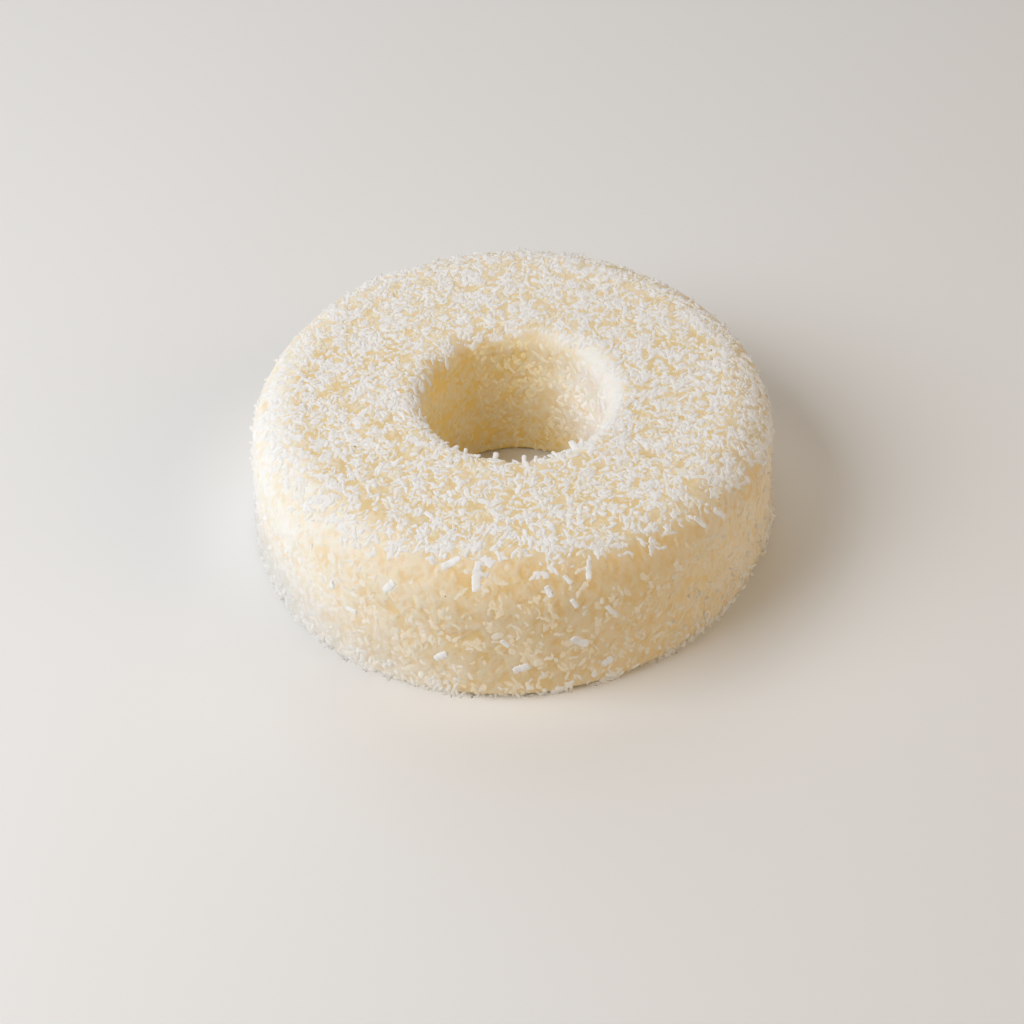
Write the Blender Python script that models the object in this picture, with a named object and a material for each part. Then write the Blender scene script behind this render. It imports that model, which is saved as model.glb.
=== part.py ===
"""Tapioca coconut cake: a ring set in a mould, with a wide soft shoulder, strewn with grated coconut.

Metres, +Z up. The ring stands flat on z = 0, its outline centred on the origin, and -Y is its front.
One solid: the coconut that shows from a step away is fused to the ring.
"""

import math
import random

import bmesh
import bpy
import numpy as np
from mathutils import Matrix, Vector, noise

# The ring's section, without coconut
OUTER_RADIUS = 0.0986      # at the foot, where it is widest
TOP_RADIUS = 0.0971        # where the outer wall meets the shoulder
HEIGHT = 0.0570
SHOULDER_RADIUS = 0.0192   # round edge between the outer wall and the top
FOOT_RADIUS = 0.0045       # round edge between the outer wall and the bottom
HOLE_TOP_RADIUS = 0.0338
HOLE_FOOT_RADIUS = 0.0332
HOLE_LIP_RADIUS = 0.0081   # round edge between the top and the hole
HOLE_EDGE_RADIUS = 0.0025  # round edge between the hole and the bottom
HOLE_OFFSET = Vector((0.0017, -0.0004, 0.0))  # the mould's tube stood a little off centre

# How the outline departs from a circle, as shares of the radius: (lobes, cosine share, sine share)
OUTLINE_LOBES = ((2, -0.012, 0.010), (3, 0.004, 0.004))

# Relief of the surface itself: (wavelength, height), from slumped swells to the swollen pearls below
RELIEF = ((0.034, 0.0006), (0.011, 0.0004))
RELIEF_FADE = 0.006        # height over which the relief grows from nothing at the flat bottom

FACET = 0.0062             # side of the facets that the ring is made of
ARC_STEP = math.radians(3)

SEED = 48
GOLDEN_TURN = math.pi * (3 - math.sqrt(5))
FLAKE_STATIONS = ((-0.5, 0.66), (0.05, 1.0), (0.5, 0.62))                 # (place, width) as shares
LARGE_STATIONS = ((-0.5, 0.62), (-0.26, 1.0), (0.24, 0.95), (0.5, 0.66))
FLAKE_RAGGED = 0.16        # how uneven a flake's outline is, as a share of its size
FLAKE_FLOOR = 0.0004       # no flake reaches lower than this, so the ring rests on its own flat bottom

# Strewn coconut, by where it lies: the stretch of the section that it covers, as two places each with a way
# past it, and how many flakes there are, with their length, width and thickness and how far an end may rise
STREWN = {
    "top": (("lip_end", -0.001), ("shoulder_start", 0.010),
            84, (0.0048, 0.0072), (0.0015, 0.0022), 0.0012, 0.0015),
    "lip": (("lip_start", 0.001), ("lip_end", -0.001),
            15, (0.0042, 0.0058), (0.0014, 0.0020), 0.0012, 0.0015),
    "hole": (("hole_start", 0.008), ("lip_start", 0.0),
             9, (0.0045, 0.0062), (0.0014, 0.0020), 0.0011, 0.0003),
    "wall": (("shoulder_start", 0.014), ("wall_end", -0.010),
             26, (0.0046, 0.0070), (0.0016, 0.0026), 0.0011, 0.0003),
    "foot": (("wall_end", -0.010), ("wall_end", 0.002),
             46, (0.0040, 0.0060), (0.0015, 0.0023), 0.0013, 0.0019),
}

# The largest flakes, which lie on the shoulder and the wall at the front: azimuth in degrees from +X,
# way down the section from the shoulder's start, turn in degrees from level, length, width
LARGE_FLAKES = (
    (262, 0.015, 89, 0.0088, 0.0036),
    (256, 0.011, 42, 0.0080, 0.0034),
    (264, 0.009, -32, 0.0050, 0.0030),
    (286, 0.015, 75, 0.0070, 0.0024),
    (277, 0.020, -69, 0.0044, 0.0024),
    (283, 0.043, -37, 0.0072, 0.0034),
    (271, 0.053, 25, 0.0066, 0.0036),
    (289, 0.056, 28, 0.0042, 0.0034),
    (290, 0.034, -57, 0.0052, 0.0026),
    (244, 0.023, 55, 0.0070, 0.0026),
    (315, 0.017, -65, 0.0052, 0.0030),
)
LARGE_THICKNESS = 0.0013
LARGE_RISE = 0.0002

FLAKE_BEND = 0.20          # how far a flake curves in its plane and out of it, as shares of its length
FLAKE_ARCH = 0.08
FLAKE_SHOWN = 0.12         # how far a flake's middle stands clear of the surface, as a share of its thickness

CRUMB_COLOUR = (0.84, 0.74, 0.55, 1.0)
CRUMB_ROUGHNESS = 0.55


def arc(centre_radius, centre_height, radius, start, end):
    """Points of a round edge as (radius, height, direction it faces), from one direction to the other."""
    steps = max(2, round(abs(end - start) / ARC_STEP))
    points = []
    for step in range(steps + 1):
        facing = start + (end - start) * step / steps
        r = centre_radius + radius * math.cos(facing)
        z = centre_height + radius * math.sin(facing)
        points.append((r, z, facing))
    return points


class Section:
    """The ring's section from the bottom of the hole, over the top, to the outer foot."""

    def __init__(self):
        down, inward, up, outward = -math.pi / 2, math.pi, math.pi / 2, 0.0
        edge = arc(HOLE_FOOT_RADIUS + HOLE_EDGE_RADIUS, HOLE_EDGE_RADIUS, HOLE_EDGE_RADIUS,
                   down + 2 * math.pi, inward)
        lip = arc(HOLE_TOP_RADIUS + HOLE_LIP_RADIUS, HEIGHT - HOLE_LIP_RADIUS, HOLE_LIP_RADIUS, inward, up)
        shoulder = arc(TOP_RADIUS - SHOULDER_RADIUS, HEIGHT - SHOULDER_RADIUS, SHOULDER_RADIUS, up, outward)
        foot = arc(OUTER_RADIUS - FOOT_RADIUS, FOOT_RADIUS, FOOT_RADIUS, outward, down)
        points = np.array(edge + lip + shoulder + foot)
        steps = np.hypot(np.diff(points[:, 0]), np.diff(points[:, 1]))
        self.way = np.concatenate([[0.0], np.cumsum(steps)])
        self.radius, self.height, self.facing = points.T
        self.length = self.way[-1]
        after_lip = len(edge) + len(lip)
        self.places = {
            "hole_start": self.way[len(edge) - 1],
            "lip_start": self.way[len(edge)],
            "lip_end": self.way[after_lip - 1],
            "shoulder_start": self.way[after_lip],
            "wall_start": self.way[after_lip + len(shoulder) - 1],
            "wall_end": self.way[after_lip + len(shoulder)],
        }

    def at(self, way):
        """(radius, height, facing) at this way along the section."""
        columns = (self.radius, self.height, self.facing)
        return tuple(float(np.interp(way, self.way, column)) for column in columns)


def outline_share(azimuth):
    """How far the outline departs from a circle at this azimuth, as a share of the radius."""
    return sum(c * math.cos(n * azimuth) + s * math.sin(n * azimuth) for n, c, s in OUTLINE_LOBES)


def surface(section, way, azimuth):
    """Point and outward normal of the ring's surface."""
    radius, height, facing = section.at(way)
    hole_share = (OUTER_RADIUS - radius) / (OUTER_RADIUS - HOLE_FOOT_RADIUS)
    radius *= 1 + outline_share(azimuth) * (1 - hole_share)
    out = Vector((math.cos(azimuth), math.sin(azimuth), 0.0))
    normal = out * math.cos(facing) + Vector((0.0, 0.0, math.sin(facing)))
    point = out * radius + Vector((0.0, 0.0, height)) + HOLE_OFFSET * hole_share
    grown = min(1.0, height / RELIEF_FADE)
    swell = sum(depth * noise.noise(point / wavelength) for wavelength, depth in RELIEF)
    return point + normal * swell * grown, normal


def ring_of(section, way, odd):
    """One ring of points, as many as its girth needs. An odd ring is turned by half a facet."""
    radius = section.at(way)[0]
    count = round(2 * math.pi * radius / FACET)
    return [surface(section, way, 2 * math.pi * (i + 0.5 * odd) / count)[0] for i in range(count)]


def stitch(faces, first, second):
    """Fills the band between two closed rings of vertices with triangles, whatever their counts."""
    i = j = 0
    while i < len(first) or j < len(second):
        a, b = first[i % len(first)], second[j % len(second)]
        along_first = (i + 1) / len(first) <= (j + 1) / len(second)
        if j == len(second) or (along_first and i < len(first)):
            faces.append((a, b, first[(i + 1) % len(first)]))
            i += 1
        else:
            faces.append((a, b, second[(j + 1) % len(second)]))
            j += 1


def ring_mesh(section):
    """The bare ring as one closed mesh of facets."""
    count = round(section.length / FACET)
    points, rings = [], []
    for index in range(count + 1):
        ring = ring_of(section, section.length * index / count, index % 2)
        rings.append(range(len(points), len(points) + len(ring)))
        points += ring
    faces = []
    for index, ring in enumerate(rings):
        stitch(faces, ring, rings[(index + 1) % len(rings)])
    return closed_mesh("cake_ring", points, faces)


def closed_mesh(name, points, faces):
    """A mesh whose faces point out."""
    mesh = bpy.data.meshes.new(name)
    mesh.from_pydata([tuple(point) for point in points], [], faces)
    shape = bmesh.new()
    shape.from_mesh(mesh)
    bmesh.ops.recalc_face_normals(shape, faces=shape.faces)
    shape.to_mesh(mesh)
    shape.free()
    return mesh


def flake_mesh(name, stations, length, width, thickness, draw):
    """A flake of grated coconut along X, flat in XY: a bent bar of ragged rings of four corners."""
    bend = draw.uniform(-FLAKE_BEND, FLAKE_BEND) * length
    arch = draw.uniform(0.0, FLAKE_ARCH) * length
    points = []
    for station, share in stations:
        off_middle = 1 - 4 * station * station
        for side, top in ((-1, -1), (1, -1), (1, 1), (-1, 1)):
            ragged = 1 + draw.uniform(-FLAKE_RAGGED, FLAKE_RAGGED)
            across = side * 0.5 * width * share * ragged + bend * off_middle
            points.append((station * length * ragged, across, top * 0.5 * thickness + arch * off_middle))
    last = len(points) - 4
    faces = [(0, 1, 2, 3), (last, last + 1, last + 2, last + 3)]
    for ring in range(0, last, 4):
        for corner in range(4):
            after = (corner + 1) % 4
            faces.append((ring + corner, ring + after, ring + 4 + after, ring + 4 + corner))
    return closed_mesh(name, points, faces)


def lay_flake(section, holder, name, place, turn, rise, stations, size, draw):
    """One flake on the ring's surface, part sunk: turned in its plane, and one end raised out of it."""
    way, azimuth = place
    length, width, thickness = size
    point, normal = surface(section, way, azimuth)
    around = Vector((-math.sin(azimuth), math.cos(azimuth), 0.0))
    frame = Matrix((around, normal.cross(around), normal)).transposed().to_4x4()
    frame.translation = point + normal * (0.5 * rise + FLAKE_SHOWN * thickness)
    lift = math.asin(rise / length)
    mesh = flake_mesh(name, stations, length, width, thickness, draw)
    mesh.transform(frame @ Matrix.Rotation(turn, 4, "Z") @ Matrix.Rotation(-lift, 4, "Y"))
    for vertex in mesh.vertices:
        vertex.co.z = max(vertex.co.z, FLAKE_FLOOR)
    holder.objects.link(bpy.data.objects.new(name, mesh))


def strewn_places(section, first, last, count, draw):
    """Places spread evenly over a stretch of the surface: each as (way along the section, azimuth)."""
    ways = np.linspace(first, last, 200)
    girths = np.interp(ways, section.way, section.radius)
    grown = np.concatenate([[0.0], np.cumsum(0.5 * (girths[1:] + girths[:-1]))])
    for index in range(count):
        share = (index + draw.uniform(0.2, 0.8)) / count
        way = float(np.interp(share * grown[-1], grown, ways))
        yield way, index * GOLDEN_TURN + draw.uniform(-0.12, 0.12)


def strew(section, holder):
    """All the coconut that is fused to the ring."""
    draw = random.Random(SEED)
    for name, (start, end, count, lengths, widths, thickness, most_rise) in STREWN.items():
        first = section.places[start[0]] + start[1]
        last = section.places[end[0]] + end[1]
        for index, place in enumerate(strewn_places(section, first, last, count, draw)):
            size = (draw.uniform(*lengths), draw.uniform(*widths), thickness)
            turn = draw.uniform(0, 2 * math.pi)
            rise = draw.uniform(0, most_rise)
            lay_flake(section, holder, f"{name}_flake_{index}", place, turn, rise, FLAKE_STATIONS, size, draw)
    for index, (azimuth, down, turn, length, width) in enumerate(LARGE_FLAKES):
        place = (section.places["shoulder_start"] + down, math.radians(azimuth))
        size = (length, width, LARGE_THICKNESS)
        lay_flake(section, holder, f"large_flake_{index}", place, math.radians(turn), LARGE_RISE,
                  LARGE_STATIONS, size, draw)


def keep_largest_shell(mesh):
    """Drops loose scraps and fills sealed hollows, which are the smaller shells of the joined mesh."""
    shape = bmesh.new()
    shape.from_mesh(mesh)
    waiting = set(shape.verts)
    shells = []
    while waiting:
        shell, reached = [], [waiting.pop()]
        while reached:
            vertex = reached.pop()
            shell.append(vertex)
            near = [edge.other_vert(vertex) for edge in vertex.link_edges]
            fresh = [other for other in near if other in waiting]
            waiting.difference_update(fresh)
            reached += fresh
        shells.append(shell)
    largest = max(shells, key=len)
    loose = [vertex for shell in shells if shell is not largest for vertex in shell]
    bmesh.ops.delete(shape, geom=loose, context="VERTS")
    bmesh.ops.triangulate(shape, faces=shape.faces)
    shape.to_mesh(mesh)
    shape.free()


def fuse(ring, holder):
    """Joins the flakes to the ring by one Boolean union, and removes them.

    The solver is MANIFOLD, because EXACT leaves open edges where several flakes cross.
    """
    union = ring.modifiers.new("coconut", "BOOLEAN")
    union.operation = "UNION"
    union.operand_type = "COLLECTION"
    union.collection = holder
    union.solver = "MANIFOLD"
    graph = bpy.context.evaluated_depsgraph_get()
    joined = bpy.data.meshes.new_from_object(ring.evaluated_get(graph))
    ring.modifiers.remove(union)
    bare = ring.data
    ring.data = joined
    bpy.data.meshes.remove(bare)
    joined.name = ring.name
    keep_largest_shell(joined)
    for flake in list(holder.objects):
        bpy.data.meshes.remove(flake.data)
    bpy.data.collections.remove(holder)


def cake_material():
    """Set tapioca, cream and slightly moist."""
    material = bpy.data.materials.new("cake_crumb")
    material.use_nodes = True
    shader = material.node_tree.nodes["Principled BSDF"]
    shader.inputs["Base Color"].default_value = CRUMB_COLOUR
    shader.inputs["Roughness"].default_value = CRUMB_ROUGHNESS
    shader.inputs["Metallic"].default_value = 0.0
    return material


def clear_scene():
    for thing in list(bpy.data.objects):
        bpy.data.objects.remove(thing, do_unlink=True)


def main():
    clear_scene()
    section = Section()
    ring = bpy.data.objects.new("cake_ring", ring_mesh(section))
    bpy.context.scene.collection.objects.link(ring)
    holder = bpy.data.collections.new("coconut")
    bpy.context.scene.collection.children.link(holder)
    strew(section, holder)
    fuse(ring, holder)
    ring.data.shade_smooth()
    ring.data.set_sharp_from_angle(angle=math.radians(38))
    ring.data.materials.clear()
    ring.data.materials.append(cake_material())


main()
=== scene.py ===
"""The looks of the tapioca coconut cake: its moist crumb, and every flake of coconut that shows.

Metres, +Z up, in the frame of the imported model. The cake stands on z = 0 and its front is -Y. A place on its
surface is a way, the distance along the ring's section from the bottom of the hole over the top to the outer
foot, and an azimuth, the angle from +X towards +Y.
"""

import math

import bpy
import numpy as np
from mathutils import Matrix, Vector, kdtree, noise


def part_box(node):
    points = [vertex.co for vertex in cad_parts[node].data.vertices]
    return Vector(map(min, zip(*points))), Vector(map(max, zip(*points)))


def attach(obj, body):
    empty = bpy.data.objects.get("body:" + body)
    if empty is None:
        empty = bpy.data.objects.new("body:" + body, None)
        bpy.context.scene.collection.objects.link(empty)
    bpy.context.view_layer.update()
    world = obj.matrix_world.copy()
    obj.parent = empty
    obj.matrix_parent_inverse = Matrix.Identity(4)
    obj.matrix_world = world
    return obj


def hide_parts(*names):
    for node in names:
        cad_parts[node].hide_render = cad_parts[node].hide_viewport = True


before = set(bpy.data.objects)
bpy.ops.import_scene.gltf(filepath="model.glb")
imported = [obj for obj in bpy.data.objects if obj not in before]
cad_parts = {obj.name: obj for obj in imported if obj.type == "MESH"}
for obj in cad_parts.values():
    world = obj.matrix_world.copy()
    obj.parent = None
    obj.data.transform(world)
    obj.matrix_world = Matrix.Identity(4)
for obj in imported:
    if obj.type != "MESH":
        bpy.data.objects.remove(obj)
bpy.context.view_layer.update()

LOW, HIGH = (np.array(corner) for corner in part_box("cake_ring"))
BOX_MARGIN = 0.00002       # how far inside that box the flakes stay
SEED = 7
MM = 0.001

# ---------------------------------------------------------------- sizes, as in the solid model

OUTER_RADIUS = 0.0986      # at the foot, where it is widest
TOP_RADIUS = 0.0971        # where the outer wall meets the shoulder
HEIGHT = 0.0570
SHOULDER_RADIUS = 0.0192   # round edge between the outer wall and the top
FOOT_RADIUS = 0.0045       # round edge between the outer wall and the bottom
HOLE_TOP_RADIUS = 0.0338
HOLE_FOOT_RADIUS = 0.0332
HOLE_LIP_RADIUS = 0.0081   # round edge between the top and the hole
HOLE_EDGE_RADIUS = 0.0025  # round edge between the hole and the bottom
HOLE_OFFSET = np.array((0.0017, -0.0004, 0.0))
OUTLINE_LOBES = ((2, -0.012, 0.010), (3, 0.004, 0.004))  # (lobes, cosine share, sine share)
RELIEF = ((0.034, 0.0006), (0.011, 0.0004))              # (wavelength, height)
RELIEF_FADE = 0.006        # height over which the relief grows from nothing at the flat bottom
ARC_STEP = math.radians(1.5)

# ---------------------------------------------------------------- the crumb's own sizes

PEARLS = ((0.0045, 0.00016), (0.0021, 0.00010))          # finer relief: (wavelength, height)
CRUMB_STEP = 0.00086       # side of the crumb's triangles
LEAST_AROUND = 24          # the fewest vertices in one of its rings
BOTTOM_RINGS = 8           # between the two feet, where nothing shows
SUNK_HEIGHT = 0.00042      # how far a sunk flake lifts the crumb's skin
SUNK_BEND = 0.7            # how much sunk flakes bend
SUNK_WEIGHTS = (0.35, 1.0)  # how much of their height they reach
BEND_CENTRE = 0.3          # keeps a bent one about its middle

# ---------------------------------------------------------------- colours

CRUMB_LIGHT = (0.920, 0.700, 0.375)
CRUMB_DEEP = (0.885, 0.640, 0.280)      # clouds in it
CRUMB_TOP_SHADE = (0.870, 0.695, 0.390)       # painted shade between the flakes of the top, for the shadows they would cast
CRUMB_TOP_SHADE_FAR = (0.885, 0.745, 0.500)   # the same painted shade, lighter at the back
CRUMB_HOLE_SHADE = (0.955, 0.715, 0.260)      # painted shade in the hole, a deeper gold
CRUMB_FLAKED = (0.930, 0.840, 0.690)    # over sunk flakes
CRUMB_FROST_AND_LIGHT = (0.975, 0.960, 0.930)     # under a veil of fine coconut, and for painted light
CRUMB_FOOT_SHADE = (0.700, 0.700, 0.690)      # painted shade low on the frosted wall

FLAKE_WHITE = (0.975, 0.970, 0.975)
# the lower layer of the top's flakes, creamier as painted shade under the upper ones
FLAKE_CREAM = (0.960, 0.895, 0.750)
FLAKE_SOFT = (0.990, 0.855, 0.640)
FLAKE_MOIST = (0.995, 0.905, 0.755)
FLAKE_STANDING = (0.985, 0.940, 0.865)
# painted shade of the hole, on the flakes inside it
FLAKE_HOLE_SHADE = (0.970, 0.825, 0.500)
FLAKE_FROST_AND_LIGHT = (0.985, 0.980, 0.975)     # where the cake is frosted and where light is painted on

# What the materials' noise multiplies those colours by
CRUMB_CLOUD = (0.990, 0.965, 0.920)
FLAKE_CLOUD = (0.975, 0.960, 0.930)
UNCHANGED = (1.0, 1.0, 1.0)

FROST_AND_LIGHT_SPREAD = 0.12        # how differently white the flakes are where the cake is frosted and where light is painted on
FLAKE_DIMMEST = 0.94       # the least share of its colour that a flake has
FOOT_SHADE_ON_FLAKES = 0.55      # how far flakes take on the foot's painted shade
VEIL_AND_LIGHT_BETWEEN = 0.8         # how thick the veil and its painted light are between sunk flakes
VEIL_AND_LIGHT_OVER_SUNK = 0.4       # and how much thicker over them

# ---------------------------------------------------------------- where the coconut lies

# These five tables go by azimuth, in degrees.

# How far below the start of the shoulder the dense coconut ends, in mm
DENSE_EDGE = ((165, 9), (180, 12), (200, 13), (214, 14), (230, 12), (248, 10), (263, 7.0), (280, 9.5),
              (300, 13), (318, 12), (334, 15), (344, 21), (352, 26), (360, 25), (370, 17), (400, 10),
              (440, 9), (480, 10))

# How far above the start of the hole's lip it begins, in mm
LIP_EDGE = ((-40, 9.0), (0, 9.8), (40, 9.4), (60, 7.6), (90, 6.0), (140, 6.4), (180, 5.6), (230, 5.2),
            (300, 5.2))

# How densely it lies between them
COVER = ((60, 1.05), (130, 1.05), (200, 0.97), (255, 0.88), (290, 0.90), (320, 1.02), (350, 1.02),
         (380, 1.02), (420, 1.04))

# How white the wall's skin is, partly with fine coconut and partly with painted light, whitest on the lit left
# side: (azimuth, over sunk flakes, between them)
FROST_AND_LIGHT = ((150, 0.9, 0.50), (185, 1.0, 0.90), (215, 1.0, 0.75), (238, 0.9, 0.38), (262, 0.75, 0.04),
         (300, 0.55, 0.0), (325, 0.9, 0.14), (345, 0.9, 0.16), (360, 0.8, 0.2), (450, 0.8, 0.30))
OVER_SUNK, BETWEEN = 1, 2

# Painted light on the skin of the hole and its lip, strongest on its right side, which faces the key light
HOLE_PAINTED_LIGHT = ((-75, 0.4), (-45, 1.1), (-20, 1.3), (25, 1.3), (48, 0.9), (66, 0.45), (90, 0.12), (120, 0.03),
              (240, 0.0), (270, 0.05))

# Slopes, in metres from a place: from where there is nothing to where there is all
LIP_SLOPE = (-0.0014, 0.0016)           # dense coconut at the lip
EDGE_SLOPE = (0.0065, -0.0045)          # dense coconut at its lower edge
WALL_SLOPE = (0.001, 0.017)             # sparse flakes below that edge
FOOT_SLOPE = (0.0060, 0.0010)           # flakes heaped at the foot, by height
TOP_SHADE_LIP_SLOPE = (0.004, 0.009)          # the painted shade between the top's flakes, from the lip
TOP_SHADE_EDGE_SLOPE = (0.003, -0.002)        # and from the dense coconut's lower edge
TOP_SHADE_FAR_SLOPE = (0.010, 0.080)              # that painted shade, lighter towards the back, by Y
HOLE_SHADE_SLOPE = (0.009, 0.0)               # the hole's painted shade, from the lip
WALL_FROST_AND_LIGHT_SLOPE = (0.0, 0.012)         # frost and painted light on the wall, from the shoulder
HOLE_LIGHT_SLOPE = (0.0, 0.022)         # painted light in the hole, from its bottom
LIP_LIGHT_SLOPE = (0.001, -0.004)       # and from the lip's end
FOOT_SHADE_SLOPE = (0.032, 0.006)              # painted shade on the frosted wall's lower part, by height

# Noise: (swing, wavelength, shift)
EDGE_WAVER = (0.0022, 0.009, 11.0)
LIP_WAVER = (0.0018, 0.006, 31.0)
VEIL_AND_LIGHT_NOISE = ((0.4, 0.012, 50.0), (0.4, 0.0035, 60.0))

# Patches: (least, middle, then each noise)
CLOUDS = (0.0, 0.5, (0.9, 0.0042, 70.0))
TOP_NET = (0.3, 0.80, (0.12, 0.0100, 40.0), (0.45, 0.0022, 17.0))
WALL_PATCHES = (0.1, 0.6, (1.0, 0.011, 3.0))
FOOT_PATCHES = (0.06, 0.5, (1.6, 0.0085, 21.0))
PLAIN_PATCHES = (0.1, 0.65, (0.9, 0.008, 9.0))
WALL_FEWEST = 0.09         # density of the sparse flakes next to the dense ones
FOOT_FEWEST = 0.12         # density of the foot's flakes above its heap

# ---------------------------------------------------------------- how flakes are made

CLUMP = 0.0012             # how far apart the shreds of one clump lie
FOOT_GAP = 0.001           # way that clumps keep from the bottom
TRIES = 3                  # places tried at a time for each that is wanted
GIRTH_SAMPLES = 50

STATION_JITTER = 0.03      # of a shred's stations along it, as shares of its length
SPINE_SWAY = 0.2           # of its spine sideways, for each unit of unevenness
SPINE_LIFT = 0.02          # and up or down
LEAST_CURL = 0.05
TIGHTEST_CURL = 0.7        # for each length over width, as a tighter shred would fold into itself
TWIST = 0.3

# How much shreds bend, arch, fray and vary in width, how blunt their ends are and how wide their tips
FINE = dict(bend=0.6, arch=0.05, ragged=0.19, uneven=0.24, blunt=3.0, tip=0.5, sides=6)
LARGE = dict(bend=0.08, arch=0.02, ragged=0.12, uneven=0.05, blunt=9.0, tip=0.82, sides=10)

LARGE_STATIONS = 12
LARGE_THICKNESS = 0.0011
LARGE_ROLL = 0.08
LARGE_CLEAR = 0.0004
LARGE_SOFTNESS = 0.4
STANDING_SHARE = 0.3       # share of its length by which the middle of a standing flake rises

LIT_FROM_ABOVE = np.array((0.0, 0.0, 0.45))  # how far flakes shade as if they faced up
LEAST_AHEAD = 0.2          # how far a bent normal still looks out of its own face
ROOT_DEPTH = -0.0002       # where a flake begins to take on its own colour over the painted shade at its root

# ---------------------------------------------------------------- the ring's surface


def arc(centre_radius, centre_height, radius, start, end):
    """Points of a round edge, from one direction to the other, as (radius, height, direction it faces)."""
    steps = max(2, round(abs(end - start) / ARC_STEP))
    facing = start + (end - start) * np.arange(steps + 1) / steps
    across = centre_radius + radius * np.cos(facing)
    up = centre_height + radius * np.sin(facing)
    return np.stack([across, up, facing], 1)


def section():
    """The ring's section: the way and the point of each station, and the ways where its stretches meet."""
    down, inward, up, outward = -math.pi / 2, math.pi, math.pi / 2, 0.0
    edge = arc(HOLE_FOOT_RADIUS + HOLE_EDGE_RADIUS, HOLE_EDGE_RADIUS, HOLE_EDGE_RADIUS, down + 2 * math.pi,
               inward)
    lip = arc(HOLE_TOP_RADIUS + HOLE_LIP_RADIUS, HEIGHT - HOLE_LIP_RADIUS, HOLE_LIP_RADIUS, inward, up)
    shoulder = arc(TOP_RADIUS - SHOULDER_RADIUS, HEIGHT - SHOULDER_RADIUS, SHOULDER_RADIUS, up, outward)
    foot = arc(OUTER_RADIUS - FOOT_RADIUS, FOOT_RADIUS, FOOT_RADIUS, outward, down)
    points = np.concatenate([edge, lip, shoulder, foot])
    way = np.concatenate([[0.0], np.cumsum(np.hypot(*np.diff(points[:, :2], axis=0).T))])
    stretches = np.cumsum([len(edge), len(lip), len(shoulder)])
    return way, points, np.stack([way[stretches - 1], way[stretches]], 1).ravel()


WAY, SECTION, PLACES = section()
HOLE_START, LIP_START, LIP_END, SHOULDER_START, WALL_START, WALL_END = PLACES
END = WAY[-1]


def noise_at(points, wavelength, shift=0.0):
    """Smooth noise from -1 to 1 at each point."""
    scaled = points / wavelength + shift
    return np.array([noise.noise(point) for point in scaled.tolist()])


def surface(ways, azimuths, finer=()):
    """Points and outward normals of the ring's surface, with its relief."""
    radius, height, facing = (np.interp(ways, WAY, column) for column in SECTION.T)
    hole_share = (OUTER_RADIUS - radius) / (OUTER_RADIUS - HOLE_FOOT_RADIUS)
    outline = sum(c * np.cos(n * azimuths) + s * np.sin(n * azimuths) for n, c, s in OUTLINE_LOBES)
    radius = radius * (1 + outline * (1 - hole_share))
    out = np.stack([np.cos(azimuths), np.sin(azimuths), np.zeros_like(radius)], 1)
    up = np.array((0.0, 0.0, 1.0))
    normals = out * np.cos(facing)[:, None] + up * np.sin(facing)[:, None]
    points = out * radius[:, None] + up * height[:, None] + HOLE_OFFSET * hole_share[:, None]
    grown = np.minimum(1.0, height / RELIEF_FADE)
    swell = sum(depth * noise_at(points, wavelength) for wavelength, depth in RELIEF + tuple(finer))
    return points + normals * (swell * grown)[:, None], normals


# ---------------------------------------------------------------- shares and colours


def fade(values, start, end):
    """0 up to start and 1 from end on, with a soft slope between; start may be the greater."""
    share = np.clip((values - start) / (end - start), 0, 1)
    return share * share * (3 - 2 * share)


def slope(values, place, ends):
    """The same, for ends that are counted from a place."""
    return fade(values, place + ends[0], place + ends[1])


def varied(points, middle, *swings):
    """A value that varies by each noise from point to point."""
    for swing, wavelength, shift in swings:
        middle = middle + swing * noise_at(points, wavelength, shift)
    return middle


def patches(points, least, middle, *swings):
    """How much there is at each point, from least to 1."""
    return np.clip(varied(points, middle, *swings), least, 1)


def by_azimuth(table, azimuths, column=1):
    """A table's column at each azimuth."""
    table = np.array(table)
    return np.interp(np.degrees(azimuths), table[:, 0], table[:, column], period=360)


def blend(first, second, share):
    """Colours between two, by each point's share of the second."""
    return np.asarray(first) * (1 - share)[:, None] + np.asarray(second) * share[:, None]


def unit(vectors):
    """The vectors at a length of 1."""
    return vectors / np.linalg.norm(vectors, axis=1)[:, None]


def dense_edge(azimuths, points):
    """The way where the dense coconut ends, ragged by a few millimetres."""
    return varied(points, SHOULDER_START + by_azimuth(DENSE_EDGE, azimuths) * MM, EDGE_WAVER)


def wall_frost_and_light(ways, azimuths):
    """How white the skin of the wall is between flakes: partly a veil of fine coconut, partly painted light on
    the lit left side.
    """
    return by_azimuth(FROST_AND_LIGHT, azimuths, BETWEEN) * slope(ways, SHOULDER_START, WALL_FROST_AND_LIGHT_SLOPE)


def lit_hole_share(ways, azimuths):
    """How much painted light whitens the skin of the hole between flakes."""
    high = slope(ways, HOLE_START, HOLE_LIGHT_SLOPE)
    return by_azimuth(HOLE_PAINTED_LIGHT, azimuths) * high * slope(ways, LIP_END, LIP_LIGHT_SLOPE)


def foot_shade(ways, azimuths, points):
    """How far painted shade darkens the frosted wall towards its foot."""
    low = slope(points[:, 2], 0, FOOT_SHADE_SLOPE) * fade(ways, LIP_END, WALL_START)
    return low * by_azimuth(FROST_AND_LIGHT, azimuths, BETWEEN)


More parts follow.
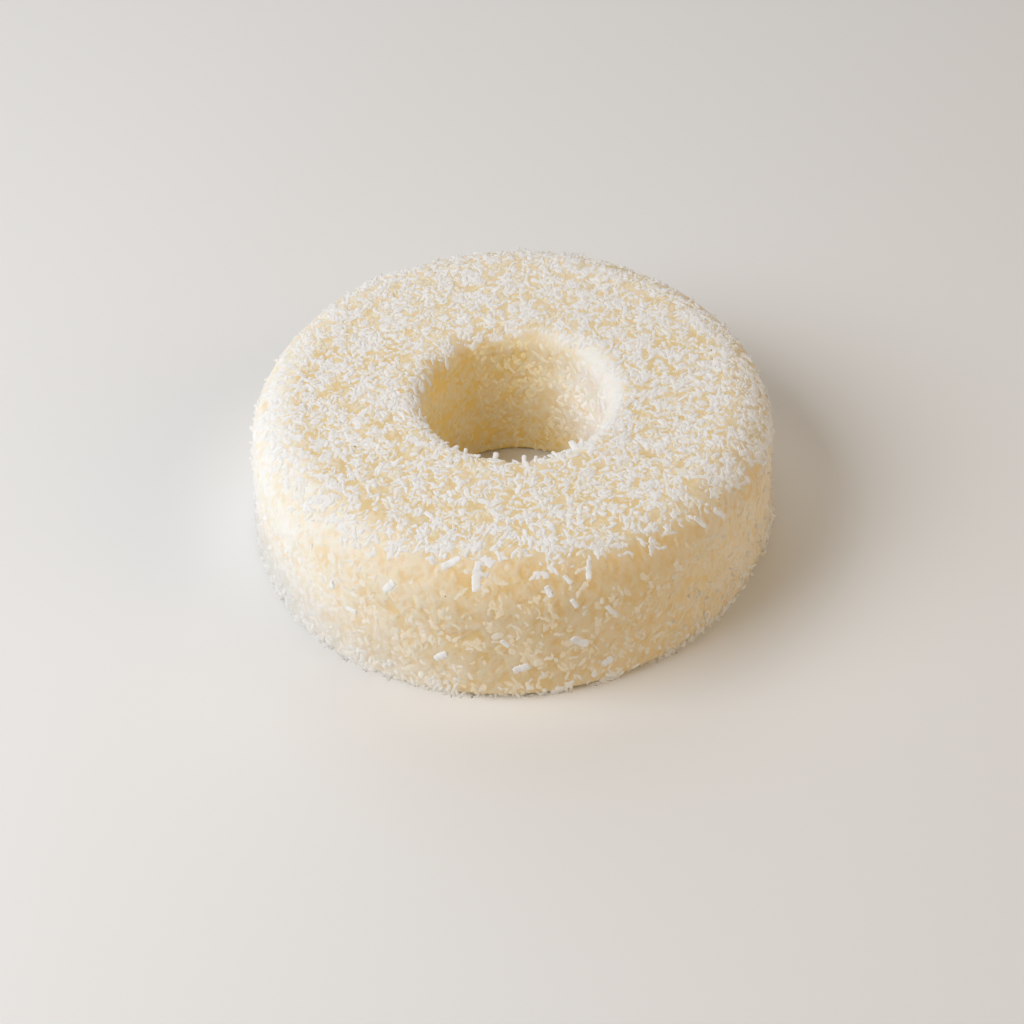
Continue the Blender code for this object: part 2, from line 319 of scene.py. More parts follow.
def crumb_tints(ways, azimuths, points, shares):
    """The crumb's colour at each point, by the shares of sunk flakes under it and by its place, with painted
    shade between the top's flakes, in the hole and low on the frosted wall, and painted light in the hole and
    on the left wall.
    """
    tints = blend(CRUMB_DEEP, CRUMB_LIGHT, patches(points, *CLOUDS))
    edge = dense_edge(azimuths, points)
    # painted shade between the top's flakes, for the shadows they would cast, lighter towards the back
    top = slope(ways, LIP_START, TOP_SHADE_LIP_SLOPE) * slope(ways, edge, TOP_SHADE_EDGE_SLOPE)
    tints = blend(tints, blend(CRUMB_TOP_SHADE, CRUMB_TOP_SHADE_FAR, slope(points[:, 1], 0, TOP_SHADE_FAR_SLOPE)), top)
    # painted light on the hole's right side, where the key light falls
    hole_light = lit_hole_share(ways, azimuths)
    # painted shade in the hole, except where its painted light lies
    tints = blend(tints, CRUMB_HOLE_SHADE, slope(ways, LIP_START, HOLE_SHADE_SLOPE) * (1 - hole_light))
    # fine coconut and painted light whiten the skin
    veil_and_light = (wall_frost_and_light(ways, azimuths) + hole_light) * varied(points, 1, *VEIL_AND_LIGHT_NOISE)
    tints = blend(tints, CRUMB_FLAKED, shares)
    tints = blend(tints, CRUMB_FROST_AND_LIGHT, np.clip(veil_and_light * (VEIL_AND_LIGHT_BETWEEN + VEIL_AND_LIGHT_OVER_SUNK * shares), 0, 1))
    # painted shade low on the frosted wall
    return blend(tints, CRUMB_FOOT_SHADE, foot_shade(ways, azimuths, points))


def flake_tints(draw, colour, ways, azimuths, points):
    """A colour for each flake: whiter where the cake is frosted and where light is painted on, darker in the
    foot's painted shade, and none quite like its neighbour.
    """
    share = wall_frost_and_light(ways, azimuths) + lit_hole_share(ways, azimuths) + draw.normal(0, FROST_AND_LIGHT_SPREAD, len(ways))
    dimmed = draw.uniform(FLAKE_DIMMEST, 1.0, (len(ways), 1))
    tints = blend(colour, FLAKE_FROST_AND_LIGHT, np.clip(share, 0, 1)) * dimmed
    return blend(tints, CRUMB_FOOT_SHADE, FOOT_SHADE_ON_FLAKES * foot_shade(ways, azimuths, points))


# ---------------------------------------------------------------- meshes


def mesh_object(name, points, faces, material, tints=None, facing=None, softness=0.0):
    """A smooth-shaded mesh object, from points and from lists of faces that have equal counts of corners.

    tints is the colour at each point, which the materials read. The mesh's normals are bent by softness
    towards those in facing, so that thin flakes that light passes through shade softly.
    """
    mesh = bpy.data.meshes.new(name)
    faces = [np.asarray(part) for part in faces]
    corners = np.concatenate([part.ravel() for part in faces]).astype(np.int32)
    counts = np.concatenate([np.full(len(part), part.shape[1]) for part in faces]).astype(np.int32)
    mesh.vertices.add(len(points))
    mesh.vertices.foreach_set("co", points.astype(np.float32).ravel())
    mesh.loops.add(len(corners))
    mesh.loops.foreach_set("vertex_index", corners)
    mesh.polygons.add(len(counts))
    starts = np.concatenate([[0], np.cumsum(counts)[:-1]]).astype(np.int32)
    mesh.polygons.foreach_set("loop_start", starts)
    mesh.update(calc_edges=True)
    mesh.validate()
    mesh.shade_smooth()
    if tints is not None:
        colours = np.concatenate([tints, np.ones((len(tints), 1))], 1)
        mesh.attributes.new("tint", "FLOAT_COLOR", "POINT").data.foreach_set("color", colours.ravel())
    if facing is not None:
        mesh.normals_split_custom_set_from_vertices(bent_normals(mesh, facing, softness).tolist())
    mesh.materials.append(material)
    piece = bpy.data.objects.new(name, mesh)
    bpy.context.scene.collection.objects.link(piece)
    return piece


def bent_normals(mesh, facing, softness):
    """The mesh's own normals, bent by softness towards facing, but never past the edge of their own face."""
    own = np.empty(3 * len(mesh.vertices), dtype=np.float32)
    mesh.vertex_normals.foreach_get("vector", own)
    own = own.reshape(-1, 3)
    bent = unit(unit(facing) * softness + own * (1 - softness))
    short = np.maximum(0.0, LEAST_AHEAD - (bent * own).sum(1))
    return unit(bent + own * short[:, None])


def stitch(first, second):
    """Triangles that fill the band between two closed rings of vertices, whatever their counts."""
    faces = []
    i = j = 0
    while i < len(first) or j < len(second):
        a, b = first[i % len(first)], second[j % len(second)]
        along_first = (i + 1) / len(first) <= (j + 1) / len(second)
        if j == len(second) or (along_first and i < len(first)):
            faces.append((a, first[(i + 1) % len(first)], b))
            i += 1
        else:
            faces.append((a, second[(j + 1) % len(second)], b))
            j += 1
    return faces


# ---------------------------------------------------------------- the crumb


def crumb(material, sunk):
    """The whole ring of set tapioca, closed under its flat bottom, with sunk flakes that swell its skin."""
    count = round(END / CRUMB_STEP)
    ways = END * np.arange(count + 1) / count
    girths = 2 * math.pi * np.interp(ways, WAY, SECTION[:, 0])
    numbers = np.maximum(LEAST_AROUND, np.round(girths / CRUMB_STEP)).astype(int)
    all_ways = np.repeat(ways, numbers)
    turns = [(np.arange(number) + 0.5 * (index % 2)) / number for index, number in enumerate(numbers)]
    azimuths = 2 * math.pi * np.concatenate(turns)
    points, normals = surface(all_ways, azimuths, PEARLS)
    shares = sunk_shares(points, sunk)
    grown = np.minimum(1.0, points[:, 2] / RELIEF_FADE)
    points = np.clip(points + normals * (SUNK_HEIGHT * shares * grown)[:, None], LOW, HIGH)
    tints = crumb_tints(all_ways, azimuths, points, shares)
    rings = np.split(np.arange(len(points)), np.cumsum(numbers)[:-1])
    last, first = rings[-1], rings[0]
    for step in range(1, BOTTOM_RINGS):
        share = step / BOTTOM_RINGS
        number = round(len(last) + (len(first) - len(last)) * share)
        at = np.arange(number) / number
        outer = np.stack([np.interp(at, turns[-1], points[last][:, k], period=1) for k in range(3)], 1)
        inner = np.stack([np.interp(at, turns[0], points[first][:, k], period=1) for k in range(3)], 1)
        rings.append(np.arange(len(points), len(points) + number))
        points = np.concatenate([points, outer + (inner - outer) * share])
    faces = []
    for index, ring in enumerate(rings):
        faces += stitch(ring.tolist(), rings[(index + 1) % len(rings)].tolist())
    tints = np.concatenate([tints, np.broadcast_to(CRUMB_DEEP, (len(points) - len(tints), 3))])
    return mesh_object("cake_crumb", points, [faces], material, tints)


def sunk_shares(points, sunk):
    """How much of a sunk flake there is under each point of the skin, from 0 to 1."""
    tree = kdtree.KDTree(len(points))
    for index, point in enumerate(points.tolist()):
        tree.insert(point, index)
    tree.balance()
    shares = np.zeros(len(points))
    for centre, ahead, aside, half_length, half_width, bend, weight in zip(*sunk):
        near = tree.find_range(centre.tolist(), half_length + half_width)
        if not near:
            continue
        found = np.array([index for _, index, _ in near])
        away = points[found] - centre
        along = away @ ahead / half_length
        across = away @ aside / half_width + bend * (along * along - BEND_CENTRE)
        rise = np.clip(1.0 - along ** 4, 0, 1) * np.clip(1.0 - across * across, 0, 1)
        shares[found] = np.maximum(shares[found], weight * np.sqrt(rise))
    return shares


def sunk_flakes(draw, rows):
    """Flakes under the crumb's skin: centres, directions, half sizes, bends and weights."""
    parts = []
    for count, first, last, upright, length, width in rows:
        ways, azimuths = strewn(draw, count, first, last, anywhere)
        points, _, ahead, aside = directions(ways, azimuths, turned(draw, count, upright))
        half_length = 0.5 * draw.uniform(*length, count)
        half_width = 0.5 * draw.uniform(*width, count)
        bend, weight = draw.normal(0, SUNK_BEND, count), draw.uniform(*SUNK_WEIGHTS, count)
        weight = weight * by_azimuth(FROST_AND_LIGHT, azimuths, OVER_SUNK)
        parts.append((points, ahead, aside, half_length, half_width, bend, weight))
    return [np.concatenate(column) for column in zip(*parts)]


# ---------------------------------------------------------------- strewing


def on_top(ways, azimuths, points):
    """Dense coconut: from the hole's lip to the ragged edge on the shoulder, in a net of small patches."""
    start = varied(points, LIP_START + by_azimuth(LIP_EDGE, azimuths) * MM, LIP_WAVER)
    edge = dense_edge(azimuths, points)
    ends = slope(ways, start, LIP_SLOPE) * slope(ways, edge, EDGE_SLOPE)
    return ends * patches(points, *TOP_NET) * by_azimuth(COVER, azimuths)


def on_wall(ways, azimuths, points):
    """Sparse flakes below the dense edge: few at first, more further down."""
    below = slope(ways, dense_edge(azimuths, points), WALL_SLOPE)
    return (WALL_FEWEST + (1 - WALL_FEWEST) * below) * patches(points, *WALL_PATCHES)


def near_foot(ways, azimuths, points):
    """Flakes gathered at the foot, in ragged clusters."""
    low = slope(points[:, 2], 0, FOOT_SLOPE)
    return (FOOT_FEWEST + (1 - FOOT_FEWEST) * low) * patches(points, *FOOT_PATCHES)


def anywhere(ways, azimuths, points):
    """Flakes all over a stretch, in soft patches."""
    return patches(points, *PLAIN_PATCHES)


def strewn(draw, count, first, last, density):
    """Ways and azimuths of count places on a stretch of the surface, as dense as density says."""
    ways, azimuths = np.empty(0), np.empty(0)
    widest = np.interp(np.linspace(first, last, GIRTH_SAMPLES), WAY, SECTION[:, 0]).max()
    while len(ways) < count:
        way = draw.uniform(first, last, TRIES * count)
        azimuth = draw.uniform(0, 2 * math.pi, TRIES * count)
        points, _ = surface(way, azimuth)
        kept = np.interp(way, WAY, SECTION[:, 0]) / widest * density(way, azimuth, points)
        kept = draw.uniform(0, 1, TRIES * count) < kept
        ways, azimuths = np.append(ways, way[kept]), np.append(azimuths, azimuth[kept])
    return ways[:count], azimuths[:count]


def gathered(draw, count, clump, stretch):
    """Places that gather in small clumps, each of about as many shreds as clump says."""
    ways, azimuths = strewn(draw, math.ceil(count / clump), *stretch)
    parents = draw.integers(0, len(ways), count)
    girth = np.interp(ways[parents], WAY, SECTION[:, 0])
    ways = np.clip(ways[parents] + draw.normal(0, CLUMP, count), HOLE_START, END - FOOT_GAP)
    return ways, azimuths[parents] + draw.normal(0, CLUMP, count) / girth


def turned(draw, count, upright):
    """Angles from level: any at all where upright is 0, and all of them upright where it is 1."""
    turn = draw.uniform(0, math.pi, count)
    return turn + (math.pi / 2 - turn) * upright


def directions(ways, azimuths, turn):
    """Points, normals, and the directions along and across shreds that lie turned from level."""
    points, normals = surface(ways, azimuths)
    around = np.stack([-np.sin(azimuths), np.cos(azimuths), np.zeros_like(azimuths)], 1)
    upward = np.cross(normals, around)
    ahead = around * np.cos(turn)[:, None] + upward * np.sin(turn)[:, None]
    return points, normals, ahead, np.cross(normals, ahead)


# ---------------------------------------------------------------- coconut


def spread(draw, length, width, thickness, stations, bend, arch, ragged, uneven, blunt, tip, sides):
    """Shreds of grated coconut, each along its own X and flat in its own XY.

    length, width and thickness are arrays. A shred is a bent, twisted and ragged bar with rounded ends.
    """
    count = len(length)
    along = np.linspace(-0.5, 0.5, stations)
    ends = tip + (1 - tip) * np.sqrt(np.maximum(0.0, 1 - np.abs(2 * along) ** blunt))
    along = along[None, :] + draw.normal(0, STATION_JITTER, (count, stations))
    curl = draw.normal(0, bend, (count, 1))
    curl = np.where(np.abs(curl) < LEAST_CURL, LEAST_CURL, curl)
    tightest = TIGHTEST_CURL * (length / width)[:, None]
    curl = np.clip(curl, -tightest, tightest)
    heading = 2 * curl * along
    x = np.sin(heading) / (2 * curl)
    y = (1 - np.cos(heading)) / (2 * curl)
    y = y + draw.normal(0, SPINE_SWAY * uneven, (count, stations))
    z = draw.normal(0, arch, (count, 1)) * (1 - 4 * along * along)
    z = z + draw.normal(0, SPINE_LIFT, (count, stations))
    spine = np.stack([x, y, z], 2) * length[:, None, None]
    angle = (2 * math.pi * np.arange(sides) / sides)[None, None, :]
    twist = (draw.normal(0, TWIST, (count, 1)) * 2 * along)[:, :, None]
    torn = 1 + draw.normal(0, ragged, (count, stations, sides))
    waist = 1 + draw.normal(0, uneven, (count, stations, 1))
    across = np.cos(angle) * (0.5 * width[:, None, None] * ends[None, :, None] * torn * waist)
    depth = np.sin(angle) * (0.5 * thickness[:, None, None] * np.sqrt(ends)[None, :, None] * torn)
    turned_across = across * np.cos(twist) - depth * np.sin(twist)
    turned_depth = across * np.sin(twist) + depth * np.cos(twist)
    sideways = np.stack([-np.sin(heading), np.cos(heading), np.zeros_like(x)], 2)
    body = spine[:, :, None, :] + sideways[:, :, None, :] * turned_across[..., None]
    body[..., 2] += turned_depth
    return body


def shred_faces(count, stations, sides):
    """The faces of count shreds: quads along them, and caps at both ends."""
    ring = np.arange(sides)
    after = (ring + 1) % sides
    quads = []
    for station in range(stations - 1):
        low, high = station * sides, (station + 1) * sides
        quads.append(np.stack([low + ring, low + after, high + after, high + ring], 1))
    quads = np.concatenate(quads)
    last = (stations - 1) * sides
    caps = np.stack([ring[::-1], last + ring])
    shift = (np.arange(count) * stations * sides)[:, None, None]
    return (quads[None] + shift).reshape(-1, 4), (caps[None] + shift).reshape(-1, sides)


def lay(body, ways, azimuths, turn, lift, roll, clear):
    """Shreds in their place: turned in the surface, lifted at one end, rolled, and this far clear of it.

    Returns the points, the directions to shade towards, and how high each point is above the surface.
    """
    points, normals, ahead, aside = directions(ways, azimuths, turn)
    front = ahead * np.cos(lift)[:, None] + normals * np.sin(lift)[:, None]
    top = np.cross(front, aside)
    side = aside * np.cos(roll)[:, None] + top * np.sin(roll)[:, None]
    top = np.cross(front, side)
    centre = points + normals * clear[:, None]
    axes = np.stack([front, side, top], 1)
    placed = np.einsum("nsck,nkd->nscd", body, axes) + centre[:, None, None, :]
    facing = np.broadcast_to((normals + LIT_FROM_ABOVE)[:, None, None, :], placed.shape)
    above = np.einsum("nscd,nd->nsc", placed - points[:, None, None, :], normals)
    placed = np.clip(placed, LOW + BOX_MARGIN, HIGH - BOX_MARGIN)
    return placed.reshape(-1, 3), facing.reshape(-1, 3), above.ravel()


def shreds(draw, material, name, stretch, count, length, width, thickness, lift, roll, clear, colour,
           softness, upright=0.0, clump=1.0, soak_and_shade=0.0006, stations=5):
    """A piece of many shreds that lie on a stretch of the surface.

    length, width, thickness and clear are (least, most). lift and roll are how far shreds tilt, in radians.
    A shred has the crumb's colour at its root, partly soaked coconut and partly painted shade where it meets
    the crumb, and its own from a height of soak above the crumb.
    """
    ways, azimuths = gathered(draw, count, clump, stretch) if clump > 1 else strewn(draw, count, *stretch)
    sizes = [draw.uniform(*span, count) for span in (length, width, thickness)]
    body = spread(draw, *sizes, stations, **FINE)
    turn = turned(draw, count, upright)
    tilt = draw.normal(0, lift, count), draw.normal(0, roll, count)
    placed, facing, above = lay(body, ways, azimuths, turn, *tilt, draw.uniform(*clear, count))
    points, _ = surface(ways, azimuths)
    root = crumb_tints(ways, azimuths, points, np.zeros(count))
    own = flake_tints(draw, colour, ways, azimuths, points)
    root, own = (np.repeat(part, stations * FINE["sides"], axis=0) for part in (root, own))
    # painted shade at the root, partly soaked coconut
    tints = blend(root, own, fade(above, ROOT_DEPTH, soak_and_shade))
    faces = shred_faces(count, stations, FINE["sides"])
    return mesh_object(name, placed, faces, material, tints, facing, softness)


def placed_flakes(draw, material, name, start, rows):
    """A piece of single large flakes, whose rows give their places as ways from start."""
    azimuths, ways, turn, lift, length, width = np.array(rows).T
    azimuths, turn, lift = np.radians((azimuths, turn, lift))
    ways, length, width = start + ways * MM, length * MM, width * MM
    count = len(rows)
    body = spread(draw, length, width, np.full(count, LARGE_THICKNESS), LARGE_STATIONS, **LARGE)
    clear = LARGE_CLEAR + STANDING_SHARE * length * np.sin(lift)
    placed, facing, _ = lay(body, ways, azimuths, turn, lift, draw.normal(0, LARGE_ROLL, count), clear)
    faces = shred_faces(count, LARGE_STATIONS, LARGE["sides"])
    tints = np.broadcast_to(FLAKE_WHITE, placed.shape)
    return mesh_object(name, placed, faces, material, tints, facing, LARGE_SOFTNESS)


# ---------------------------------------------------------------- the tables of coconut

# Flakes under the crumb's skin: count, from way, to way, how upright, length and width
SUNK_FLAKES = (
    (11000, SHOULDER_START + 0.004, END - 0.002, 0.45, (0.0026, 0.0054), (0.0010, 0.0019)),
    (3600, LIP_START, SHOULDER_START + 0.014, 0.0, (0.0026, 0.0048), (0.0011, 0.0020)),
    (2600, HOLE_START, LIP_START + 0.008, 0.3, (0.0024, 0.0046), (0.0010, 0.0018)),
)

# Stretches that flakes lie on: from way, to way, and how densely
TOP = (LIP_START, SHOULDER_START + 0.028, on_top)
TOP_AND_EDGE = (LIP_START, SHOULDER_START + 0.030, on_top)
WALL = (SHOULDER_START + 0.005, END - 0.003, on_wall)
HOLE = (HOLE_START, LIP_START + 0.005, anywhere)
FOOT = (WALL_END - 0.006, END - 0.001, near_foot)

SHREDS = (
    dict(name="top_under", stretch=TOP, count=2100, colour=FLAKE_CREAM, length=(0.0028, 0.0054),
         width=(0.0012, 0.0022), thickness=(0.0004, 0.0007), lift=0.12, roll=0.25,
         clear=(-0.0001, 0.0003), clump=1.5, softness=0.5, stations=4),
    dict(name="top_shreds", stretch=TOP, count=3300, colour=FLAKE_WHITE, length=(0.0028, 0.0058),
         width=(0.0012, 0.0021), thickness=(0.0005, 0.0009), lift=0.26, roll=0.3,
         clear=(0.0001, 0.0007), clump=1.6, softness=0.55),
    dict(name="top_chips", stretch=TOP, count=500, colour=FLAKE_WHITE, length=(0.0022, 0.0036),
         width=(0.0014, 0.0022), thickness=(0.0004, 0.0006), lift=0.20, roll=0.25,
         clear=(0.0000, 0.0005), clump=1.5, softness=0.6),
    dict(name="top_bits", stretch=TOP, count=1800, colour=FLAKE_WHITE, length=(0.0012, 0.0024),
         width=(0.0008, 0.0013), thickness=(0.0004, 0.0007), lift=0.40, roll=0.4,
         clear=(0.0001, 0.0008), softness=0.6, stations=4),
    dict(name="wall_soft", stretch=WALL, count=2600, colour=FLAKE_SOFT, length=(0.0024, 0.0052),
         width=(0.0012, 0.0022), thickness=(0.0003, 0.0006), lift=0.03, roll=0.06,
         clear=(-0.0001, 0.0001), upright=0.45, softness=0.75, soak_and_shade=0.0003, stations=4),
    dict(name="hole_soft", stretch=HOLE, count=1400, colour=FLAKE_HOLE_SHADE, length=(0.0018, 0.0040),
         width=(0.0010, 0.0018), thickness=(0.0003, 0.0006), lift=0.05, roll=0.08,
         clear=(-0.0001, 0.0003), upright=0.25, softness=0.7, soak_and_shade=0.0003, stations=4),
    dict(name="wall_shreds", stretch=WALL, count=750, colour=FLAKE_MOIST, length=(0.0020, 0.0044),
         width=(0.0009, 0.0018), thickness=(0.0004, 0.0008), lift=0.08, roll=0.15,
         clear=(-0.0001, 0.0003), upright=0.2, softness=0.75, soak_and_shade=0.0005),
    dict(name="wall_nubs", stretch=WALL, count=500, colour=FLAKE_MOIST, length=(0.0022, 0.0036),
         width=(0.0010, 0.0016), thickness=(0.0007, 0.0010), lift=0.9, roll=0.3,
         clear=(0.0002, 0.0007), softness=0.75),
    dict(name="top_nubs", stretch=TOP_AND_EDGE, count=900, colour=FLAKE_WHITE, length=(0.0022, 0.0036),
         width=(0.0008, 0.0014), thickness=(0.0006, 0.0009), lift=0.8, roll=0.3,
         clear=(0.0003, 0.0008), softness=0.6),
    dict(name="foot_shreds", stretch=FOOT, count=1800, colour=FLAKE_STANDING, length=(0.0020, 0.0042),
         width=(0.0010, 0.0020), thickness=(0.0007, 0.0012), lift=0.5, roll=0.4,
         clear=(0.0000, 0.0010), softness=0.6, stations=4),
)

# The single large flakes that stand out on the shoulder and the wall:
# azimuth, way below the start of the shoulder, angle from level, lift, length, width, in degrees and mm
LARGE_FLAKES = (
    (262.0, 15.0, 89, 0, 8.5, 3.2),
    (256.0, 10.6, 42, 0, 7.4, 2.8),
    (286.0, 15.0, 75, 0, 6.8, 2.1),
    (283.0, 43.5, -37, 0, 7.2, 3.0),
    (271.0, 52.7, 25, 0, 6.4, 3.0),
    (289.0, 56.6, 28, 0, 4.1, 3.0),
    (277.0, 20.0, -69, 0, 4.2, 2.2),
    (282.0, 25.6, -62, 0, 4.1, 1.8),
    (244.0, 23.1, 55, 0, 5.4, 2.6),
    (315.0, 16.7, -65, 0, 5.1, 2.0),
    (321.0, 19.2, -60, 0, 5.6, 2.2),
    (290.0, 33.7, -57, 0, 6.9, 1.8),
    (264.0, 9.2, -32, 0, 4.6, 3.0),
    (281.0, 16.9, -54, 0, 3.9, 1.7),
    (230.0, 33.4, 87, 0, 4.4, 2.0),
    (255.0, 48.9, 41, 0, 4.9, 2.8),
    (268.0, 40.9, -47, 0, 4.0, 2.0),
    (235.0, 40.8, -5, 0, 4.5, 2.0),
)

# The same for those that stand up from the hole's lip, with ways from the start of the lip
LIP_FLAKES = (
    (305.0, 7.4, 80, 50, 4.6, 2.6),
    (310.0, 7.2, 35, 25, 4.2, 1.6),
    (258.0, 6.9, 85, 62, 3.8, 2.0),
    (274.5, 7.0, 85, 60, 3.2, 1.6),
    (281.0, 7.0, 60, 45, 2.6, 1.3),
    (246.0, 7.0, 20, 14, 4.4, 1.6),
    (240.0, 7.2, 120, 40, 3.4, 1.4),
    (233.0, 7.2, 70, 45, 3.2, 1.5),
    (292.5, 7.4, 120, 40, 2.8, 1.3),
)

# ---------------------------------------------------------------- materials


def new_material(name):
    """A material of nodes, with its tree and its shader."""
    material = bpy.data.materials.new(name)
    material.use_nodes = True
    tree = material.node_tree
    return material, tree, tree.nodes["Principled BSDF"]


def node(tree, kind, **values):
    """A shader node with its settings and its inputs' values."""
    made = tree.nodes.new(kind)
    for key, value in values.items():
        if key in made.inputs:
            made.inputs[key].default_value = value
        else:
            setattr(made, key, value)
    return made


def noise_texture(tree, **values):
    """Noise through the cake's own space."""
    place = node(tree, "ShaderNodeTexCoord").outputs["Object"]
    made = node(tree, "ShaderNodeTexNoise", **values)
    tree.links.new(place, made.inputs["Vector"])
    return made.outputs["Fac"]


def ramp(tree, source, stops):
    """A colour ramp over a value, from (place, colour) stops."""
    made = tree.nodes.new("ShaderNodeValToRGB")
    band = made.color_ramp
    while len(band.elements) < len(stops):
        band.elements.new(0.5)
    for element, (place, colour) in zip(band.elements, stops):
        element.position = place
        element.color = (*colour, 1.0)
    tree.links.new(source, made.inputs["Fac"])
    return made.outputs["Color"]


def remapped(tree, source, span, to_span):
    """A value moved from one span to another."""
    made = node(tree, "ShaderNodeMapRange")
    for name, value in zip(("From Min", "From Max", "To Min", "To Max"), (*span, *to_span)):
        made.inputs[name].default_value = value
    tree.links.new(source, made.inputs["Value"])
    return made.outputs["Result"]


# The sockets of a Mix node that mixes colours
MIX_SHARE, MIX_FIRST, MIX_SECOND, MIX_RESULT = 0, 6, 7, 2


def tinted(tree, colour):
    """A colour multiplied by the mesh's own tint."""
    tint = node(tree, "ShaderNodeAttribute", attribute_name="tint").outputs["Color"]
    made = node(tree, "ShaderNodeMix", data_type="RGBA", blend_type="MULTIPLY")
    made.inputs[MIX_SHARE].default_value = 1.0
    tree.links.new(tint, made.inputs[MIX_FIRST])
    tree.links.new(colour, made.inputs[MIX_SECOND])
    return made.outputs[MIX_RESULT]


NOISE_SPAN = (0.3, 0.7)    # what most of a noise texture's values lie between


def food_material(name, cloud, stops, gloss, grain, bump):
    """A material in the mesh's tint, clouded by noise that also sets its roughness, with a fine bump.

    cloud and grain are noises, stops the cloud's colours, and gloss the roughness at its ends.
    """
    material, tree, shader = new_material(name)
    clouds = noise_texture(tree, **cloud)
    tree.links.new(tinted(tree, ramp(tree, clouds, stops)), shader.inputs["Base Color"])
    tree.links.new(remapped(tree, clouds, NOISE_SPAN, gloss), shader.inputs["Roughness"])
    bumps = node(tree, "ShaderNodeBump", **bump)
    tree.links.new(noise_texture(tree, **grain), bumps.inputs["Height"])
    tree.links.new(bumps.outputs["Normal"], shader.inputs["Normal"])
    return material, shader


def crumb_material():
    """Set tapioca: cream, moist, and clouded by the flakes and pearls just under its surface."""
    material, shader = food_material(
        "crumb",
        cloud=dict(Scale=240.0, Detail=4.0, Roughness=0.62),
        stops=((0.34, CRUMB_CLOUD), (0.66, UNCHANGED)),
        gloss=(0.44, 0.60),
        grain=dict(Scale=900.0, Detail=3.0, Roughness=0.6),
        bump=dict(Strength=0.3, Distance=0.0003),
    )
    shader.inputs["Subsurface Weight"].default_value = 0.45
    shader.inputs["Subsurface Radius"].default_value = (1.0, 0.66, 0.40)
    shader.inputs["Subsurface Scale"].default_value = 0.006
    shader.inputs["Specular IOR Level"].default_value = 0.3
    return material


def coconut_material():
    """Grated coconut: matte, with a fine fibre.

    Without the correction for bumps, light also reaches the far side of a flake, as it does in real ones.
    """
    material, shader = food_material(
        "coconut",
        cloud=dict(Scale=900.0, Detail=3.0, Roughness=0.55),
        stops=((0.36, FLAKE_CLOUD), (0.60, UNCHANGED)),
        gloss=(0.55, 0.75),
        grain=dict(Scale=2600.0, Detail=2.0, Roughness=0.6),
        bump=dict(Strength=0.35, Distance=0.0001),
    )
    material.cycles.use_bump_map_correction = False
    shader.inputs["Specular IOR Level"].default_value = 0.0
    return material


# ---------------------------------------------------------------- floor, lights and camera

FLOOR_HALF = 6.0           # half of its side, so that it runs out of sight
FLOOR_DROP = 0.0002        # how far it lies below the cake
FLOOR_COLOUR = (0.87, 0.87, 0.87, 1.0)
FLOOR_ROUGHNESS = 0.8


def stage():
    """A plain pale floor."""
    material, _, shader = new_material("floor")
    shader.inputs["Base Color"].default_value = FLOOR_COLOUR
    shader.inputs["Roughness"].default_value = FLOOR_ROUGHNESS
    corners = np.array([(-1, -1, 0), (1, -1, 0), (1, 1, 0), (-1, 1, 0)]) * FLOOR_HALF
    floor = mesh_object("floor", corners - np.array((0, 0, FLOOR_DROP)), [[(0, 1, 2, 3)]], material)


LIGHTS = (
    # name, azimuth, elevation, distance, size, power, colour
    ("key", 198, 41, 1.3, 0.9, 13.8, (0.95, 0.97, 1.0)),
    ("right", 345, 30, 1.4, 1.0, 5.8, (1.0, 0.85, 0.67)),
    ("back", 100, 38, 1.4, 1.0, 4.2, (0.95, 0.97, 1.0)),
    ("front", 262, 38, 1.4, 0.9, 0.7, (1.0, 0.78, 0.44)),
)
WORLD_STRENGTH = 0.11
WORLD_COLOUR = (1.0, 0.82, 0.60, 1.0)


def area_light(name, azimuth, elevation, distance, size, power, colour):
    """A soft square light that faces the cake."""
    data = bpy.data.lights.new(name, "AREA")
    data.shape = "SQUARE"
    data.size = size
    data.energy = power
    data.color = colour
    light = bpy.data.objects.new(name, data)
    a, e = math.radians(azimuth), math.radians(elevation)
    towards = Vector((math.cos(a) * math.cos(e), math.sin(a) * math.cos(e), math.sin(e)))
    light.location = towards * distance + Vector((0, 0, HEIGHT / 2))
    light.rotation_euler = towards.to_track_quat("Z", "Y").to_euler()
    bpy.context.scene.collection.objects.link(light)


def lights():
    """The studio's soft lights, with a dim warm world round them."""
    for row in LIGHTS:
        area_light(*row)
    world = bpy.data.worlds.new("studio")
    world.use_nodes = True
    background = world.node_tree.nodes["Background"]
    background.inputs["Color"].default_value = WORLD_COLOUR
    background.inputs["Strength"].default_value = WORLD_STRENGTH
    bpy.context.scene.world = world
    bpy.context.scene.view_settings.view_transform = "Standard"


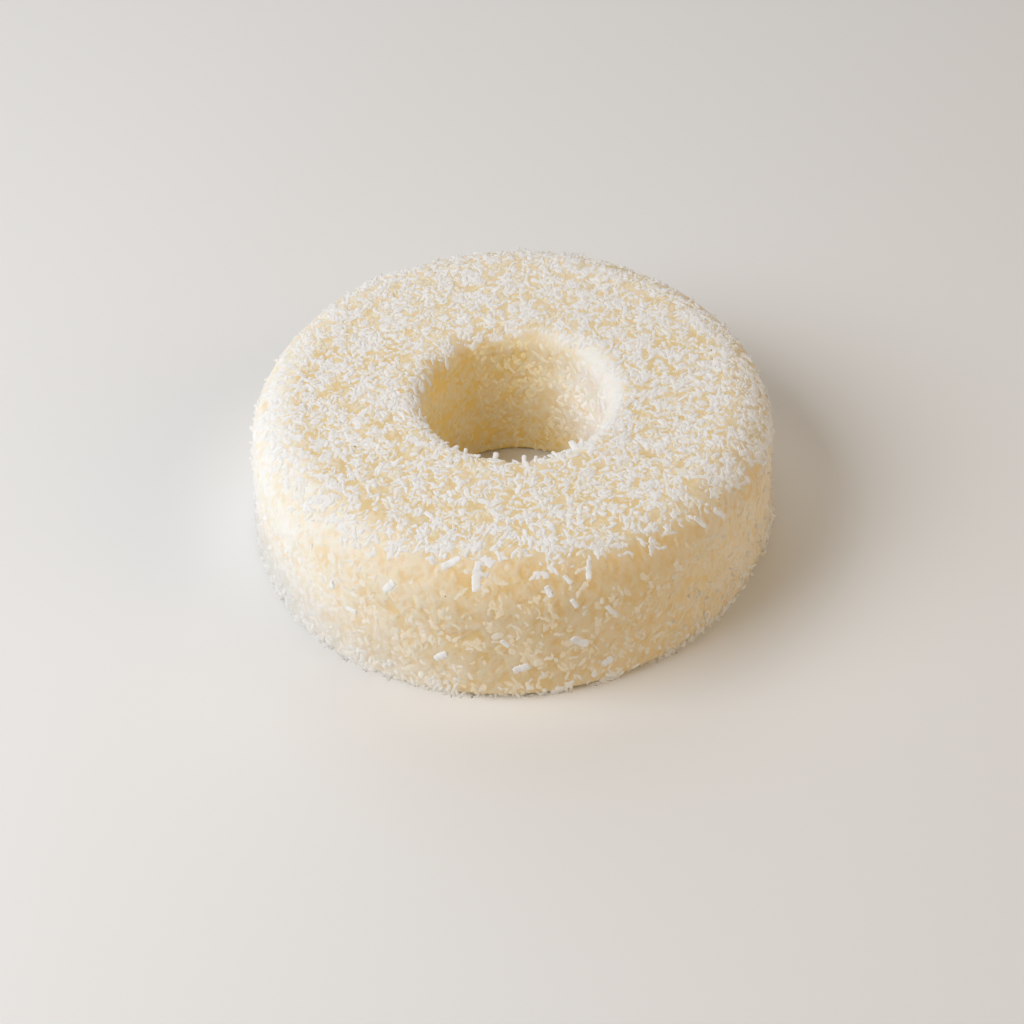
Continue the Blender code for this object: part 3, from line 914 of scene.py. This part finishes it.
# The camera, as the photograph's perspective gives it
VIEW_ELEVATION = math.radians(42.78)
VIEW_DISTANCE = 0.936
VIEW_TARGET = Vector((-0.0008, -0.0066, 0.0))
VIEW_ROLL = math.radians(-1.135)
VIEW_LENS_SHARE = 2.407    # focal length as a share of the picture's width
VIEW_SHIFT = (0.0013, 0.0062)
SENSOR_WIDTH = 36.0
CLIP_START = 0.01


def camera():
    """The camera, looking down on the front of the cake."""
    data = bpy.data.cameras.new("camera")
    data.sensor_width = SENSOR_WIDTH
    data.lens = SENSOR_WIDTH * VIEW_LENS_SHARE
    data.shift_x, data.shift_y = VIEW_SHIFT
    data.clip_start = CLIP_START
    back = Vector((0.0, -math.cos(VIEW_ELEVATION), math.sin(VIEW_ELEVATION)))
    right = Vector((1.0, 0.0, 0.0))
    up = back.cross(right)
    rolled_right = right * math.cos(VIEW_ROLL) + up * math.sin(VIEW_ROLL)
    rolled_up = up * math.cos(VIEW_ROLL) - right * math.sin(VIEW_ROLL)
    place = Matrix((rolled_right, rolled_up, back)).transposed().to_4x4()
    place.translation = VIEW_TARGET + back * VIEW_DISTANCE
    eye = bpy.data.objects.new("camera", data)
    eye.matrix_world = place
    bpy.context.scene.collection.objects.link(eye)
    bpy.context.scene.camera = eye


# ---------------------------------------------------------------- the cake


def cake():
    """All pieces of the cake, from one series of random draws.

    Light passes through thin coconut, so flakes throw no shadow and keep no reflected light from each other.
    Their bent normals also need shadows that start right at the surface.
    """
    draw = np.random.default_rng(SEED)
    coconut = coconut_material()
    pieces = [crumb(crumb_material(), sunk_flakes(draw, SUNK_FLAKES))]
    pieces += [shreds(draw, coconut, **row) for row in SHREDS]
    pieces.append(placed_flakes(draw, coconut, "large_flakes", SHOULDER_START, LARGE_FLAKES))
    pieces.append(placed_flakes(draw, coconut, "lip_flakes", LIP_START, LIP_FLAKES))
    for piece in pieces:
        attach(piece, "root")
        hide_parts("cake_ring")
        piece.visible_shadow = piece.name == "cake_crumb"
        piece.visible_diffuse = piece.name == "cake_crumb"
        piece.shadow_terminator_geometry_offset = 0.0


cake()
stage()
lights()
camera()
